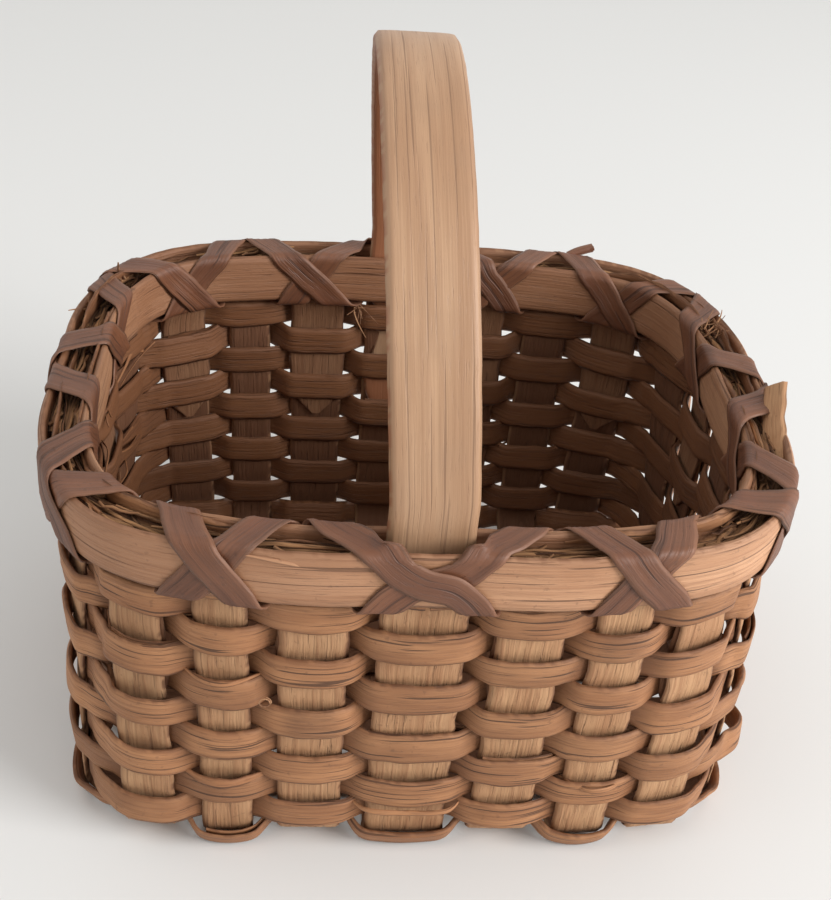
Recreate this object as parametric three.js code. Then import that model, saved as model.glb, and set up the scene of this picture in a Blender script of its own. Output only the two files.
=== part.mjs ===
import * as THREE from 'three';

// A small splint gathering basket with one fixed hoop handle.
// Millimetres. X runs along the long side, Y from front to back, Z up from the flat underside.

// Splints, the thin strips that everything is woven from
const stakeThick = 0.9;
const tailThick = 0.7;
const weaverThick = 0.8;
const weaverWide = 4.8;
const edgeWeaverWide = 4.4;
const lapThick = 0.55;
const lapRoom = 0.33;
const clearance = 0.27;
const bendRoom = 0.55;

// Stakes that run front to back, left to right, and stakes that run left to right, front to back
const longSideWidths = [8.6, 7.8, 9.8, 12.6, 9.8, 8.4, 8.8];
const shortSideWidths = [9.2, 9.0, 10.0, 9.0, 9.2];
const longSideGap = 3.8;
const shortSideGap = 4.9;

// Wall
const cornerRoomLong = 7.7;
const cornerRoomWide = 9.4;
const flareLong = 2.1;
const flareWide = 2.4;
const cornerPowerLow = 7.2;
const cornerPowerHigh = 3.6;
const bendRadius = 4.4;
const edgeTilt = THREE.MathUtils.degToRad(62);
const rowGap = 0.3;
const rowsUpWall = 9;
const lashSlot = 1.2;

// Tucked ends
const tuckRows = [2, 4];
const tuckPointWide = 1.8;
const tuckPointRoom = 0.9;
const tuckShoulder = 0.75;
const foldRoom = 0.2;

// Rim
const rimThick = 1.3;
const rimTall = 9.3;
const scarfLong = 16;
const scarfTip = 0.3;
const fillerTall = 2.8;
const roundRoom = 0.4;

// Handle
const handleWide = 12.2;
const handleThick = 1.6;
const handleTailThick = 1.0;
const handleTailWide = 10.4;
const handlePointWide = 4;
const handleRise = 52.3;
const handleLean = -3.5;
const handleTuckRows = [1, 3, 5];
const handleSegments = 31;

// Lashing
const lasherWide = 3.6;
const lasherThick = 0.6;
const lasherRoom = 0.32;
const lasherEndGap = 1.0;
const holeRoom = 0.75;

const up = new THREE.Vector3(0, 0, 1);
const along = new THREE.Vector3(1, 0, 0);

function finish(color, roughness) {
  return new THREE.MeshStandardMaterial({ color, roughness, metalness: 0 });
}

const stakeSplint = finish(0xc9a57a, 0.8);
const weaverSplint = finish(0xb98c62, 0.75);
const rimSplint = finish(0xc59a6e, 0.7);
const handleSplint = finish(0xd0a684, 0.55);
const lashingReed = finish(0x6e5650, 0.65);
const fillerGrass = finish(0x765a3c, 0.95);

// Plan of the base, worked out from the stakes
function spread(widths, gap) {
  const total = widths.reduce((sum, wide) => sum + wide, 0) + gap * (widths.length - 1);
  let edge = -total / 2;
  const centres = widths.map((wide) => {
    const centre = edge + wide / 2;
    edge += wide + gap;
    return centre;
  });
  return { centres, half: total / 2 };
}

const longSide = spread(longSideWidths, longSideGap);
const shortSide = spread(shortSideWidths, shortSideGap);
const middle = (longSideWidths.length - 1) / 2;
const layRise = (stakeThick + clearance) / 2;
const baseLevel = stakeThick / 2 + layRise;
const bendTop = baseLevel + bendRadius;

// The edge row lies on the bend: against its round outside, and across the hollow of its inside
const layLeft = layRise * (1 - edgeTilt / (Math.PI / 2));
const edgeOutside = layLeft + stakeThick / 2 + bendRoom + weaverThick / 2;
const hollowRadius = bendRadius - layLeft - stakeThick / 2 - bendRoom;
const edgeInside = bendRadius + weaverThick / 2 - Math.sqrt(hollowRadius ** 2 - (edgeWeaverWide / 2) ** 2);
const edgeRowLevel = baseLevel + bendRadius * (1 - Math.cos(edgeTilt));
const edgeCrossing = edgeRowLevel + ((edgeInside - edgeOutside) / 2) * Math.cos(edgeTilt);
const edgeRowTop = edgeCrossing
  + (edgeWeaverWide / 2) * Math.sin(edgeTilt)
  + (weaverThick / 2) * Math.cos(edgeTilt);

// Heights up the wall; rows are counted down from the rim row, which is row 0
const rowPitch = weaverWide + rowGap;
const topRow = edgeRowTop + rowGap + weaverWide / 2 + (rowsUpWall - 1) * rowPitch;
const slotLevel = topRow + weaverWide / 2 + lashSlot / 2;
const rimRow = slotLevel + lashSlot / 2 + weaverWide / 2;
const rimRowTop = rimRow + weaverWide / 2;
const rimLow = rimRow - weaverWide / 2 + clearance;
const rimHigh = rimLow + rimTall;

// Distances out from the middle of the stakes, outward positive
const outRow = stakeThick / 2 + clearance + weaverThick / 2;
const rowFace = outRow + weaverThick / 2;
const foldTail = -(rowFace + foldRoom + foldRoom + tailThick / 2);
const tuckTail = -(stakeThick / 2 + clearance + tailThick / 2);
const handleFace = -(stakeThick / 2 + clearance);
const foldFace = foldTail - tailThick / 2 - clearance;
const innerRimFace = Math.min(foldFace, handleFace - handleThick - clearance);
const outerRimFace = rowFace + clearance + roundRoom;
const rimInside = innerRimFace - rimThick;
const rimOutside = outerRimFace + rimThick;
const lapShift = lapThick + lapRoom;

function rowLevel(row) {
  return topRow - (row - 1) * rowPitch;
}

// Plan of the wall at a height: a superellipse whose corners soften quickly above the square base
function plan(height) {
  const rise = THREE.MathUtils.clamp((height - bendTop) / (rimHigh - bendTop), 0, 1);
  return {
    long: longSide.half + cornerRoomLong + flareLong * rise,
    wide: shortSide.half + cornerRoomWide + flareWide * rise,
    power: THREE.MathUtils.lerp(cornerPowerHigh, cornerPowerLow, (1 - rise) ** 2),
    grow: 1 + (flareLong * rise) / (longSide.half + cornerRoomLong),
  };
}

function signedPower(value, power) {
  return Math.sign(value) * Math.abs(value) ** power;
}

function wallFrame(height, angle) {
  const { long, wide, power } = plan(height);
  const point = new THREE.Vector3(
    long * signedPower(Math.cos(angle), 2 / power),
    wide * signedPower(Math.sin(angle), 2 / power),
    height,
  );
  const out = new THREE.Vector3(
    signedPower(point.x / long, power - 1) / long,
    signedPower(point.y / wide, power - 1) / wide,
    0,
  ).normalize();
  return { point, out, side: new THREE.Vector3().crossVectors(up, out) };
}

// The uprights in order round the wall, from the front left corner to the right
const uprights = [];
longSideWidths.forEach((wide, i) => uprights.push({ face: 'front', lane: i, wide }));
shortSideWidths.forEach((wide, i) => uprights.push({ face: 'right', lane: i, wide }));
longSideWidths.map((wide, i) => ({ face: 'back', lane: i, wide })).reverse().forEach((one) => uprights.push(one));
shortSideWidths.map((wide, i) => ({ face: 'left', lane: i, wide })).reverse().forEach((one) => uprights.push(one));
const rounds = uprights.length;
uprights.forEach((one, i) => {
  one.tucked = i % 2 === 0;
  one.handled = (one.face === 'front' || one.face === 'back') && one.lane === middle;
});

// Counting goes on past the last upright, so the one after it is the first again
function uprightAt(index) {
  return uprights[((index % rounds) + rounds) % rounds];
}

function uprightAngle(index, height) {
  const turns = Math.floor(index / rounds);
  const { face, lane } = uprightAt(index);
  const { long, wide, power, grow } = plan(height);
  const acrossLong = signedPower((longSide.centres[lane] * grow) / long, power / 2);
  const acrossWide = signedPower((shortSide.centres[lane] * grow) / wide, power / 2);
  const angles = {
    front: () => -Math.acos(acrossLong),
    right: () => Math.asin(acrossWide),
    back: () => Math.acos(acrossLong),
    left: () => Math.PI - Math.asin(acrossWide),
  };
  return angles[face]() + turns * 2 * Math.PI;
}

function uprightFrame(index, height) {
  return wallFrame(height, uprightAngle(index, height));
}

function moved(frame, outBy, sideBy = 0) {
  return frame.point.clone().addScaledVector(frame.out, outBy).addScaledVector(frame.side, sideBy);
}

// The angle at one edge of an upright: way is -1 for the edge met first and 1 for the edge met last
function edgeAngle(index, height, way) {
  const { long, wide, power } = plan(height);
  const centre = uprightAngle(index, height);
  const edge = moved(wallFrame(height, centre), 0, (way * uprightAt(index).wide) / 2);
  const found = Math.atan2(signedPower(edge.y / wide, power / 2), signedPower(edge.x / long, power / 2));
  const turns = Math.round((centre - found) / (2 * Math.PI));
  return found + turns * 2 * Math.PI;
}

// A place round the wall counted in uprights, so 3.5 is the middle of the gap after upright 3
function ringFrame(place, height) {
  const before = Math.floor(place);
  const share = place - before;
  const gap = (edgeAngle(before, height, 1) + edgeAngle(before + 1, height, -1)) / 2;
  const angle = share < 0.5
    ? THREE.MathUtils.lerp(uprightAngle(before, height), gap, share * 2)
    : THREE.MathUtils.lerp(gap, uprightAngle(before + 1, height), share * 2 - 1);
  return wallFrame(height, angle);
}

// One closed strip through a list of sections, each with a centre and two half-size vectors
function stripBody(sections, corners = [[-1, -1], [1, -1], [1, 1], [-1, 1]]) {
  const count = corners.length;
  const points = sections.flatMap(({ centre, wide, thick }) => corners.map(
    ([a, b]) => centre.clone().addScaledVector(wide, a).addScaledVector(thick, b),
  ));
  const faces = [];
  const end = (sections.length - 1) * count;
  for (let here = 0; here < end; here += count) {
    const next = here + count;
    for (let c = 0; c < count; c += 1) {
      const d = (c + 1) % count;
      faces.push([here + c, next + c, next + d], [here + c, next + d, here + d]);
    }
  }
  for (let c = 1; c < count - 1; c += 1) {
    faces.push([0, c, c + 1], [end, end + c + 1, end + c]);
  }
  const volume = faces.reduce((sum, [a, b, c]) => (
    sum + points[a].dot(new THREE.Vector3().crossVectors(points[b], points[c]))
  ), 0);
  const outward = volume < 0 ? faces.map(([a, b, c]) => [a, c, b]) : faces;
  const body = new THREE.BufferGeometry();
  body.setAttribute('position', new THREE.Float32BufferAttribute(points.flatMap((p) => p.toArray()), 3));
  body.setIndex(outward.flat());
  body.computeVertexNormals();
  return body;
}

// A strip that stands on edge round the wall; the thickness is mitred where its path turns
const sharpestMitre = 0.6;
function bandBody(path, tilt = Math.PI / 2) {
  const sections = path.map((here, i) => {
    const before = path[Math.max(i - 1, 0)].centre;
    const after = path[Math.min(i + 1, path.length - 1)].centre;
    const back = here.centre.clone().sub(before).setZ(0).normalize();
    const ahead = after.clone().sub(here.centre).setZ(0).normalize();
    const run = back.clone().add(ahead).normalize();
    const mitre = Math.max(run.dot(i === 0 ? ahead : back), sharpestMitre);
    const out = new THREE.Vector3().crossVectors(run, up);
    const slope = out.clone().multiplyScalar(Math.cos(tilt)).addScaledVector(up, Math.sin(tilt));
    const face = out.clone().multiplyScalar(Math.sin(tilt)).addScaledVector(up, -Math.cos(tilt));
    return {
      centre: here.centre,
      wide: slope.multiplyScalar(here.tall / 2),
      thick: face.multiplyScalar(here.thick / 2 / mitre),
    };
  });
  return stripBody(sections);
}

// Even rows pass outside odd uprights, and odd rows outside even ones
function passOut(row, index) {
  return (row + index) % 2 !== 0;
}

// What lies on the inner side of an upright, under a row that passes inside it
function insideCover(row, { tucked, handled }) {
  if (tucked && tuckRows.includes(row)) return tailThick / 2 - tuckTail;
  if (handled && handleTuckRows.includes(row)) return handleTailThick - handleFace;
  return stakeThick / 2;
}

function passOffset(row, index, thick, lift) {
  if (passOut(row, index)) return stakeThick / 2 + clearance + thick / 2 + lift;
  return lift - insideCover(row, uprightAt(index)) - clearance - thick / 2;
}

const cornerSteps = 4;
const wallReach = 0.2;
const edgeRowReach = 1.0;
const buttGap = 0.6;

// The stations of one row: it starts outside one upright and goes once round. A lapped row then
// runs on over its own start and ends behind the next upright; the rim row's ends only meet.
function rowStations(row, start, lapped, reach) {
  const stations = [];
  const last = start + rounds + (lapped ? 1 : 0);
  for (let index = start; index <= last; index += 1) {
    const half = uprightAt(index).wide / 2;
    const opening = lapped && index < start + 2;
    const closing = lapped && index > last - 2;
    const thick = opening || closing ? lapThick : weaverThick;
    const under = opening && index > start ? -lapShift : 0;
    const over = closing && index < last ? lapShift : 0;
    const offset = passOffset(row, index, thick, under + over);
    const inset = lapped ? lapShift - half : buttGap / 2;
    stations.push({ index, offset, thick, sideBy: index === start ? inset : -half - reach });
    stations.push({ index, offset, thick, sideBy: index === last ? -inset : half + reach });
  }
  return stations;
}

// Extra stations where a row turns a corner between two faces of the wall
function cornerStations(here, next) {
  const sameFace = uprightAt(here.index).face === uprightAt(next.index).face;
  if (here.index === next.index || sameFace) return [];
  return Array.from({ length: cornerSteps }, (_, step) => {
    const share = (step + 1) / (cornerSteps + 1);
    return {
      from: here.index,
      share,
      offset: THREE.MathUtils.lerp(here.offset, next.offset, share),
      thick: Math.min(here.thick, next.thick),
    };
  });
}

function stationFrame({ index, from, share }, level) {
  if (index !== undefined) return uprightFrame(index, level);
  const angle = THREE.MathUtils.lerp(edgeAngle(from, level, 1), edgeAngle(from + 1, level, -1), share);
  return wallFrame(level, angle);
}

function rowPath(row, start, lapped, reach = wallReach) {
  const stations = rowStations(row, start, lapped, reach);
  return stations.flatMap((here, i) => {
    const next = stations[i + 1];
    return next ? [here, ...cornerStations(here, next)] : [here];
  });
}

function wallRow(row, level, start, lapped = true) {
  return bandBody(rowPath(row, start, lapped).map((station) => ({
    centre: moved(stationFrame(station, level), station.offset, station.sideBy),
    tall: weaverWide,
    thick: station.thick,
  })));
}

// The bend of an upright, part of the way from the base to the wall. It starts square to the base
// and turns to face the way the wall faces.
function bendFrame(index, share, radius) {
  const foot = uprightFrame(index, bendTop);
  const facesY = ['front', 'back'].includes(uprightAt(index).face);
  const square = facesY
    ? new THREE.Vector3(0, Math.sign(foot.point.y), 0)
    : new THREE.Vector3(Math.sign(foot.point.x), 0, 0);
  const turn = (share * Math.PI) / 2;
  const point = foot.point.clone().addScaledVector(square, radius * Math.sin(turn) - bendRadius);
  point.z = bendTop - radius * Math.cos(turn);
  const out = square.lerp(foot.out, share).normalize();
  return { point, out, side: new THREE.Vector3().crossVectors(up, out) };
}

// The edge row leans outward on the bend between the base and the wall
function edgeRow(start) {
  const row = rowsUpWall + 1;
  const plainOut = stakeThick / 2 + clearance + weaverThick / 2;
  const lean = (offset) => {
    const share = THREE.MathUtils.clamp((offset + plainOut) / (2 * plainOut), 0, 1);
    return offset + THREE.MathUtils.lerp(plainOut - edgeInside, edgeOutside - plainOut, share);
  };
  return bandBody(rowPath(row, start, true, edgeRowReach).map((station) => {
    const offset = lean(station.offset);
    const atUpright = station.index !== undefined;
    const frame = atUpright
      ? bendFrame(station.index, edgeTilt / (Math.PI / 2), bendRadius)
      : stationFrame(station, bendTop);
    const inset = atUpright ? 0 : bendRadius * (1 - Math.sin(edgeTilt));
    const centre = moved(frame, offset * Math.sin(edgeTilt) - inset, station.sideBy);
    centre.z = edgeRowLevel - offset * Math.cos(edgeTilt);
    return { centre, tall: edgeWeaverWide, thick: station.thick };
  }), edgeTilt);
}

// The flat part of a stake, over and under its crossings in the base
function baseSections(crossings, widths, line, lane, half, laneAt) {
  return crossings.flatMap((at, i) => {
    const lift = (lane + i) % 2 === 0 ? layRise : -layRise;
    const rise = line === 'long' ? lift : -lift;
    const reach = widths[i] / 2 + clearance;
    return [-reach, reach].map((step) => ({ at: at + step, level: baseLevel + rise, rise }));
  }).map(({ at, level, rise }) => ({
    centre: laneAt(at, level),
    wide: half.clone(),
    thick: up.clone().multiplyScalar(stakeThick / 2),
    rise,
  }));
}

const bendSteps = 5;
const wallSteps = 6;
const foldSteps = 5;

// The part of a stake outside the base: the bend, the wall and the end, from the bend upward
function standingSections(index, rise) {
  const { wide, tucked } = uprights[index];
  const sections = [];
  for (let step = 0; step <= bendSteps; step += 1) {
    const share = step / bendSteps;
    const turn = (share * Math.PI) / 2;
    const frame = bendFrame(index, share, bendRadius - rise * (1 - share));
    const inward = frame.out.clone().multiplyScalar(-Math.sin(turn)).addScaledVector(up, Math.cos(turn));
    sections.push({
      centre: frame.point,
      wide: frame.side.clone().multiplyScalar(wide / 2),
      thick: inward.multiplyScalar(stakeThick / 2),
    });
  }
  const crown = rimRowTop + foldRoom;
  for (let step = 1; step <= wallSteps; step += 1) {
    const frame = uprightFrame(index, THREE.MathUtils.lerp(bendTop, crown, step / wallSteps));
    sections.push({
      centre: frame.point,
      wide: frame.side.clone().multiplyScalar(wide / 2),
      thick: frame.out.clone().multiplyScalar(-stakeThick / 2),
    });
  }
  return tucked ? sections.concat(tuckedEnd(index, crown)) : sections;
}

// The end of a tucked stake, folded in over the rim row and pushed down behind two inner passes
function tuckedEnd(index, crown) {
  const { wide } = uprights[index];
  const sections = [];
  const top = uprightFrame(index, crown);
  for (let step = 1; step <= foldSteps; step += 1) {
    const turn = (step / foldSteps) * Math.PI;
    const centre = moved(top, foldTail / 2 + (-foldTail / 2) * Math.cos(turn));
    centre.z = crown - (foldTail / 2) * Math.sin(turn);
    const thickness = THREE.MathUtils.lerp(stakeThick, tailThick, step / foldSteps);
    const inward = top.out.clone().multiplyScalar(-Math.cos(turn)).addScaledVector(up, -Math.sin(turn));
    sections.push({
      centre,
      wide: top.side.clone().multiplyScalar(wide / 2),
      thick: inward.multiplyScalar(thickness / 2),
    });
  }
  const lastTuck = tuckRows[tuckRows.length - 1];
  const pointDown = 2 * rowPitch - weaverWide / 2 - tuckPointRoom;
  const downTo = [
    { height: rimLow, offset: foldTail, share: 1 },
    { height: topRow, offset: tuckTail, share: 1 },
    { height: rowLevel(lastTuck), offset: tuckTail, share: 1 },
    { height: rowLevel(lastTuck) - pointDown / 2, offset: tuckTail, share: tuckShoulder },
    { height: rowLevel(lastTuck) - pointDown, offset: tuckTail, share: tuckPointWide / wide },
  ];
  downTo.forEach(({ height, offset, share }) => {
    const frame = uprightFrame(index, height);
    sections.push({
      centre: moved(frame, offset),
      wide: frame.side.clone().multiplyScalar((wide / 2) * share),
      thick: frame.out.clone().multiplyScalar(tailThick / 2),
    });
  });
  return sections;
}

// A whole stake: down one wall, across the base and up the other wall
function stakeBody(line, lane) {
  const acrossLong = line === 'long';
  const widths = acrossLong ? longSideWidths : shortSideWidths;
  const half = (acrossLong ? along : new THREE.Vector3(0, 1, 0)).clone().multiplyScalar(widths[lane] / 2);
  const crossings = acrossLong ? shortSide.centres : longSide.centres;
  const crossWidths = acrossLong ? shortSideWidths : longSideWidths;
  const laneAt = acrossLong
    ? (at, level) => new THREE.Vector3(longSide.centres[lane], at, level)
    : (at, level) => new THREE.Vector3(at, shortSide.centres[lane], level);
  const base = baseSections(crossings, crossWidths, line, lane, half, laneAt);
  const faces = acrossLong ? ['front', 'back'] : ['left', 'right'];
  const [first, second] = faces.map((face) => uprights.findIndex((one) => one.face === face && one.lane === lane));
  const start = standingSections(first, base[0].rise);
  const end = standingSections(second, base[base.length - 1].rise);
  const oneWay = (section) => {
    const flip = section.wide.dot(half) < 0;
    return flip ? { ...section, wide: section.wide.clone().negate() } : section;
  };
  return stripBody([...start.reverse().map(oneWay), ...base, ...end.map(oneWay)]);
}

// A rim strip is one bent band whose two shaved ends overlap in a scarf
const rimStepsPerUpright = 4;
const scarfSteps = 3;
function rimBody(insideFace, outsideFace, start) {
  const wallLong = 4 * (longSide.half + shortSide.half);
  const overlap = (scarfLong / wallLong) * rounds;
  const steps = rounds * rimStepsPerUpright;
  const wedge = outsideFace - insideFace - 2 * scarfTip - clearance;
  const level = (rimLow + rimHigh) / 2;
  const section = (place, inner, outer) => {
    const frame = ringFrame(place, level);
    return {
      centre: moved(frame, (inner + outer) / 2),
      wide: up.clone().multiplyScalar(rimTall / 2),
      thick: frame.out.clone().multiplyScalar((outer - inner) / 2),
    };
  };
  const sections = [];
  for (let step = 0; step <= scarfSteps; step += 1) {
    const share = step / scarfSteps;
    sections.push(section(start + overlap * share, insideFace, insideFace + scarfTip + wedge * share));
  }
  const settle = overlap / scarfSteps;
  const whole = rounds - overlap - 2 * settle;
  for (let step = 0; step <= steps; step += 1) {
    const place = start + overlap + settle + whole * (step / steps);
    sections.push(section(place, insideFace, outsideFace));
  }
  for (let step = 0; step <= scarfSteps; step += 1) {
    const share = step / scarfSteps;
    const inner = insideFace + scarfTip + clearance + wedge * share;
    sections.push(section(start + rounds + overlap * share, inner, outsideFace));
  }
  return stripBody(sections);
}

// The filler is a round cord laid on top between the rims, from one side of the handle to the other
const fillerStepsPerUpright = 3;
const fillerSides = 8;
function fillerBody(from, to) {
  const corners = Array.from({ length: fillerSides }, (_, i) => {
    const turn = ((i + 0.5) / fillerSides) * 2 * Math.PI;
    return [Math.cos(turn), Math.sin(turn)];
  });
  const pitch = longSide.centres[middle + 1] - longSide.centres[middle];
  const stopShort = (handleWide / 2 + 2 * clearance) / pitch;
  const steps = fillerStepsPerUpright * (rounds / 2);
  const level = rimHigh - fillerTall / 2;
  const inner = innerRimFace + clearance;
  const outer = outerRimFace - clearance;
  const sections = [];
  for (let step = 0; step <= steps; step += 1) {
    const place = THREE.MathUtils.lerp(from + stopShort, to - stopShort, step / steps);
    const frame = ringFrame(place, level);
    sections.push({
      centre: moved(frame, (inner + outer) / 2),
      wide: frame.out.clone().multiplyScalar((outer - inner) / 2),
      thick: up.clone().multiplyScalar(fillerTall / 2),
    });
  }
  return stripBody(sections, corners);
}

// The handle: one hoop whose thinned ends go down inside the middle stakes, behind three passes
function handleBody() {
  const front = middle;
  const lastRow = handleTuckRows[handleTuckRows.length - 1];
  const lowest = rowLevel(lastRow) - weaverWide / 2;
  const leg = (height, thick, width) => {
    const frame = uprightFrame(front, height);
    return {
      centre: moved(frame, handleFace - thick / 2),
      wide: along.clone().multiplyScalar(width / 2),
      thick: frame.out.clone().multiplyScalar(thick / 2),
    };
  };
  const legs = [
    leg(lowest, handleTailThick, handlePointWide),
    leg(lowest + weaverWide, handleTailThick, handleTailWide),
    leg(topRow + weaverWide / 2, handleTailThick, handleTailWide),
    leg(rimLow + clearance, handleThick, handleWide),
    leg(rimHigh, handleThick, handleWide),
  ];
  const halfSpan = Math.abs(legs[legs.length - 1].centre.y);
  const arch = [];
  for (let step = 1; step < handleSegments; step += 1) {
    const turn = (step / handleSegments) * Math.PI;
    const out = new THREE.Vector3(0, -Math.cos(turn) / halfSpan, Math.sin(turn) / handleRise).normalize();
    arch.push({
      centre: new THREE.Vector3(
        handleLean * Math.sin(turn),
        -halfSpan * Math.cos(turn),
        rimHigh + handleRise * Math.sin(turn),
      ),
      wide: along.clone().multiplyScalar(handleWide / 2),
      thick: out.multiplyScalar(handleThick / 2),
    });
  }
  const mirrored = legs.map(({ centre, wide, thick }) => ({
    centre: centre.clone().setY(-centre.y),
    wide,
    thick: thick.clone().setY(-thick.y),
  })).reverse();
  return stripBody([...legs, ...arch, ...mirrored]);
}

// Where a strand crosses the face of a rim it has more sections if a corner of the wall is near.
// The strands cross each other in the middle part of the face.
const plainShares = [0.33, 0.5, 0.67];
const cornerShares = [0.12, 0.22, 0.33, 0.5, 0.67, 0.78, 0.88];
const crossFrom = 0.3;
const crossTo = 0.7;

function isCornerGap(gap) {
  const before = Math.floor(gap);
  return uprightAt(before).face !== uprightAt(before + 1).face;
}

function faceShares(from, to) {
  return isCornerGap(from) || isCornerGap(to) ? cornerShares : plainShares;
}

function crossing(share, lift) {
  return share > crossFrom && share < crossTo ? lift : 0;
}

// One lashing strand: it climbs over the rim at one gap and dives through the wall at the next
function lashingBody(firstGap, heading, crossLift) {
  const wraps = rounds / 2;
  const holeWide = Math.min(longSideGap, shortSideGap) - 2 * holeRoom;
  const outsideRun = rimOutside + lasherRoom + lasherThick / 2;
  const insideRun = rimInside - lasherRoom - lasherThick / 2;
  const overTop = rimHigh + lasherRoom + lasherThick / 2;
  const spacing = longSide.centres[middle + 1] - longSide.centres[middle];
  const halfGap = spacing - longSideWidths[middle + 1] / 2 - longSideGap / 2;
  const besideHandle = Math.max(0, handleWide / 2 + 2 * clearance + lasherWide / 2 - halfGap) / spacing;
  const sections = [];
  const add = (place, offset, height, wide, facing) => {
    const frame = ringFrame(place, height);
    sections.push({ centre: moved(frame, offset), wide, facing, frame });
  };
  const topPlace = (gap) => {
    if (uprightAt(Math.floor(gap)).handled) return gap + besideHandle;
    if (uprightAt(Math.ceil(gap)).handled) return gap - besideHandle;
    return gap;
  };
  for (let wrap = 0; wrap < wraps; wrap += 1) {
    const hole = firstGap + heading * 2 * wrap;
    const top = topPlace(hole + heading);
    const nextHole = hole + heading * 2;
    const startOut = wrap === 0 ? lasherEndGap / 2 : 0;
    add(hole, startOut, slotLevel, holeWide, 'down');
    add(hole, outsideRun, slotLevel, holeWide, 'downOut');
    faceShares(hole, hole + heading).forEach((share) => {
      const place = THREE.MathUtils.lerp(hole, top, share);
      const height = THREE.MathUtils.lerp(slotLevel, overTop, share);
      add(place, outsideRun + crossing(share, crossLift), height, lasherWide, 'out');
    });
    add(top, outsideRun, overTop, lasherWide, 'upOut');
    add(top, insideRun, overTop, lasherWide, 'upIn');
    faceShares(hole + heading, nextHole).forEach((share) => {
      const place = THREE.MathUtils.lerp(top, nextHole, share);
      const height = THREE.MathUtils.lerp(overTop, slotLevel, share);
      add(place, insideRun - crossing(share, crossLift), height, lasherWide, 'in');
    });
    add(nextHole, insideRun, slotLevel, holeWide, 'downIn');
  }
  add(firstGap, -lasherEndGap / 2, slotLevel, holeWide, 'down');
  const bodySections = sections.map(({ centre, wide, facing, frame }, i) => {
    const normals = {
      down: up.clone().negate(),
      downOut: frame.out.clone().sub(up),
      out: frame.out.clone(),
      upOut: frame.out.clone().add(up),
      upIn: up.clone().sub(frame.out),
      in: frame.out.clone().negate(),
      downIn: frame.out.clone().negate().sub(up),
    };
    const thick = normals[facing].multiplyScalar(lasherThick / 2);
    const onFace = facing === 'out' || facing === 'in';
    const after = sections[Math.min(i + 1, sections.length - 1)].centre;
    const run = after.clone().sub(sections[Math.max(i - 1, 0)].centre).normalize();
    const across = onFace ? new THREE.Vector3().crossVectors(run, frame.out) : frame.side.clone();
    return { centre, wide: across.normalize().multiplyScalar(wide / 2), thick };
  });
  return stripBody(turnedOneWay(bodySections));
}

// Neighbouring sections of a winding strand keep their width on the same side
function turnedOneWay(sections) {
  sections.forEach((section, i) => {
    if (i > 0 && section.wide.dot(sections[i - 1].wide) < 0) section.wide.negate();
  });
  return sections;
}

const basket = new THREE.Group();

function addPiece(name, body, splint) {
  const piece = new THREE.Mesh(body, splint);
  piece.name = name;
  basket.add(piece);
}

longSideWidths.forEach((_, lane) => {
  addPiece(`stake_front_to_back_${lane + 1}`, stakeBody('long', lane), stakeSplint);
});
shortSideWidths.forEach((_, lane) => {
  addPiece(`stake_left_to_right_${lane + 1}`, stakeBody('short', lane), stakeSplint);
});

// Rows are numbered up from the base; each row's lap starts at another upright that it passes outside
const firstStart = 2;
const startsApart = 7;
function lapStart(row) {
  const wanted = firstStart + startsApart * row;
  return (passOut(row, wanted) ? wanted : wanted + 1) % rounds;
}
addPiece('base_edge_weaver', edgeRow(lapStart(rowsUpWall + 1)), weaverSplint);
for (let row = rowsUpWall; row >= 1; row -= 1) {
  addPiece(`weaver_row_${rowsUpWall + 1 - row}`, wallRow(row, rowLevel(row), lapStart(row)), weaverSplint);
}
addPiece('rim_row_weaver', wallRow(0, rimRow, lapStart(0), false), weaverSplint);

const outerScarfPlace = 8.2;
const innerScarfPlace = 19.2;
addPiece('outer_rim', rimBody(outerRimFace, rimOutside, outerScarfPlace), rimSplint);
addPiece('inner_rim', rimBody(rimInside, innerRimFace, innerScarfPlace), rimSplint);
addPiece('rim_filler_right', fillerBody(middle, middle + rounds / 2), fillerGrass);
addPiece('rim_filler_left', fillerBody(middle + rounds / 2, middle + rounds), fillerGrass);
addPiece('handle_hoop', handleBody(), handleSplint);
addPiece('rim_lashing_under', lashingBody(middle - 0.5, 1, 0), lashingReed);
addPiece('rim_lashing_over', lashingBody(middle + 0.5, -1, lasherThick + lasherRoom), lashingReed);

export default basket;
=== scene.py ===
import random
from math import acos, asin, atan2, copysign, cos, exp, floor, pi, radians, sin, sqrt, tanh

import bmesh
import bpy
import numpy as np
from mathutils import Color, Matrix, Vector, noise


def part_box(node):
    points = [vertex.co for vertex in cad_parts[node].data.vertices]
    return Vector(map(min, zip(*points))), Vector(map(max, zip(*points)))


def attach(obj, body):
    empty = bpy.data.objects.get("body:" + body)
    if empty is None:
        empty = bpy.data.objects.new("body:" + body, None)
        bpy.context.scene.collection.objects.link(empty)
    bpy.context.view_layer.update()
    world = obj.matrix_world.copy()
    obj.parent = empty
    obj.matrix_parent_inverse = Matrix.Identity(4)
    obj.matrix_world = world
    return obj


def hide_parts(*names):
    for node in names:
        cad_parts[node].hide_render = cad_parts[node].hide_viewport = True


# A small splint basket. Sizes in the dictionaries are millimetres; the meshes are made in metres.
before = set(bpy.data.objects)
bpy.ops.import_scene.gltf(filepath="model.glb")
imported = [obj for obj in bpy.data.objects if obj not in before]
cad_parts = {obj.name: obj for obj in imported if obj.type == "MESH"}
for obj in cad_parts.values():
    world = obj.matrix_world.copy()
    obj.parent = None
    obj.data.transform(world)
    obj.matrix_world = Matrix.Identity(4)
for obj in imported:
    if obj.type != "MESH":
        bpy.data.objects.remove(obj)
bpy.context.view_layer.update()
mm = 0.001
upward = np.array([0.0, 0.0, 1.0])
quarters = (0, 0.25, 0.5, 0.75, 1)


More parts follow.
